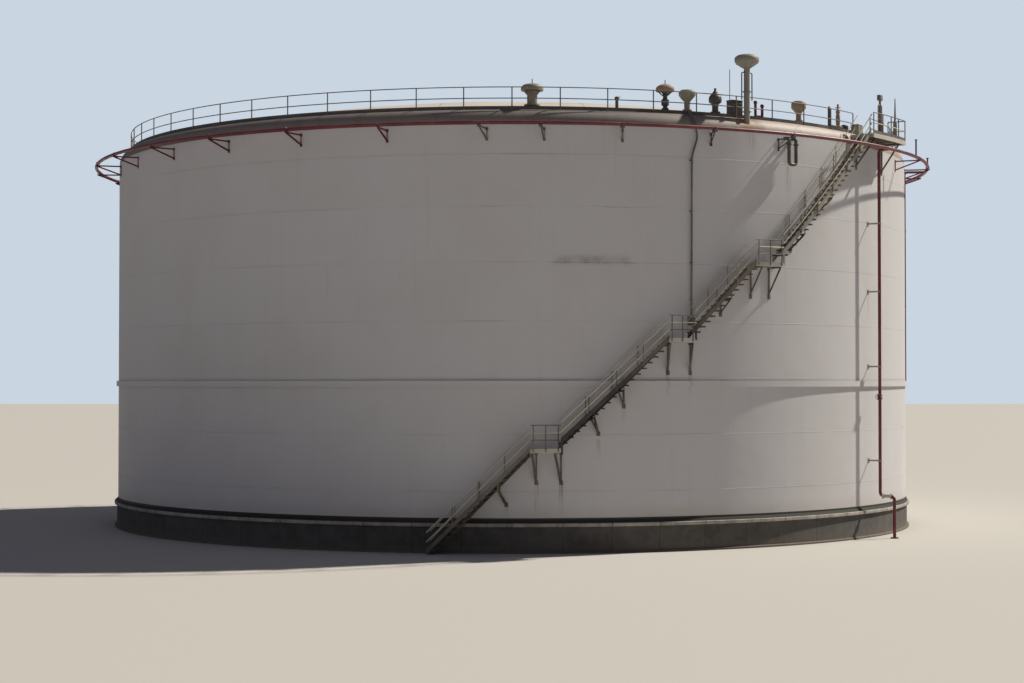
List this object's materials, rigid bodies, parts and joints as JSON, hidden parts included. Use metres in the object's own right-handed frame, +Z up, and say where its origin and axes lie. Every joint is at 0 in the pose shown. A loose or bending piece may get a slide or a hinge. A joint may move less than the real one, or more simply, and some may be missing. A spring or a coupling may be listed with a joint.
{
  "type": "vertical cylindrical storage tank with a low domed roof, 1:2 scale model",
  "caption": "White flat-bottomed steel storage tank, 1:2 scale: cylindrical shell on a raised concrete ring wall, low domed roof, railing, spiral stair and red ring main.",
  "frame": {"origin": "on the tank's axis, at ground level, in the flat underside of the concrete base", "axes": "+Z up along the tank's axis; -Y towards the side that the picture shows, where the stair climbs; +X to the right seen from there"},
  "size_m": [24.363, 24.363, 12.45],
  "materials": {
    "shell_paint": "weathered white paint on steel plates, satin, faint rust runs",
    "roof_paint": "weathered cream paint on steel plates, dusty",
    "concrete": "cast concrete, grey, stained, matte",
    "slab_concrete": "cast concrete slab edge, lighter, matte",
    "bitumen": "black bitumen seal, matte",
    "galvanised": "hot-dip galvanised steel, dull spangle",
    "red_paint": "dark red pipe paint, faded, satin",
    "dark_steel": "dark grey painted steel, dusty",
    "vent_paint": "olive grey paint on steel, weathered",
    "tan_paint": "tan paint on steel, weathered"
  },
  "bodies": {
    "root": {"antenna_box": "dark_steel", "base_slab": "slab_concrete", "bottom_plate": "bitumen", "breather_vent": "vent_paint", "cable_conduit": "dark_steel", "centre_vent": "vent_paint", "equipment_box": "dark_steel", "floodlight_mast": "galvanised", "foundation_wall": "concrete", "gauge_pipe": "dark_steel", "hydrant_posts": "red_paint", "landing_1": "galvanised", "landing_2": "galvanised", "landing_3": "galvanised", "loop_pipe": "dark_steel", "mushroom_vent_1": "vent_paint", "mushroom_vent_2": "vent_paint", "pale_vent": "tan_paint", "platform_railing": "galvanised", "relief_valve": "vent_paint", "ring_main_1": "red_paint", "ring_main_2": "red_paint", "ring_main_3": "red_paint", "ring_main_4": "red_paint", "riser": "red_paint", "roof_dome": "roof_paint", "roof_knuckle": "roof_paint", "roof_manhole": "roof_paint", "roof_railing_1": "galvanised", "roof_railing_2": "galvanised", "roof_railing_3": "galvanised", "roof_railing_4": "galvanised", "shell_sector_1": "shell_paint", "shell_sector_2": "shell_paint", "shell_sector_3": "shell_paint", "shell_sector_4": "shell_paint", "shell_sector_5": "shell_paint", "shell_sector_6": "shell_paint", "side_riser": "red_paint", "stair_flight_1": "galvanised", "stair_flight_2": "galvanised", "stair_flight_3": "galvanised", "stair_flight_4": "galvanised", "stair_handrail_1": "galvanised", "stair_handrail_2": "galvanised", "stair_handrail_3": "galvanised", "stair_handrail_4": "galvanised", "stair_inner_rail_1": "galvanised", "stair_inner_rail_2": "galvanised", "stair_inner_rail_3": "galvanised", "stair_inner_rail_4": "galvanised", "stiffening_ring": "shell_paint", "top_platform": "galvanised", "valve_set": "dark_steel", "vent_stack": "vent_paint", "whip_mast": "galvanised"}
  },
  "joints": []
}
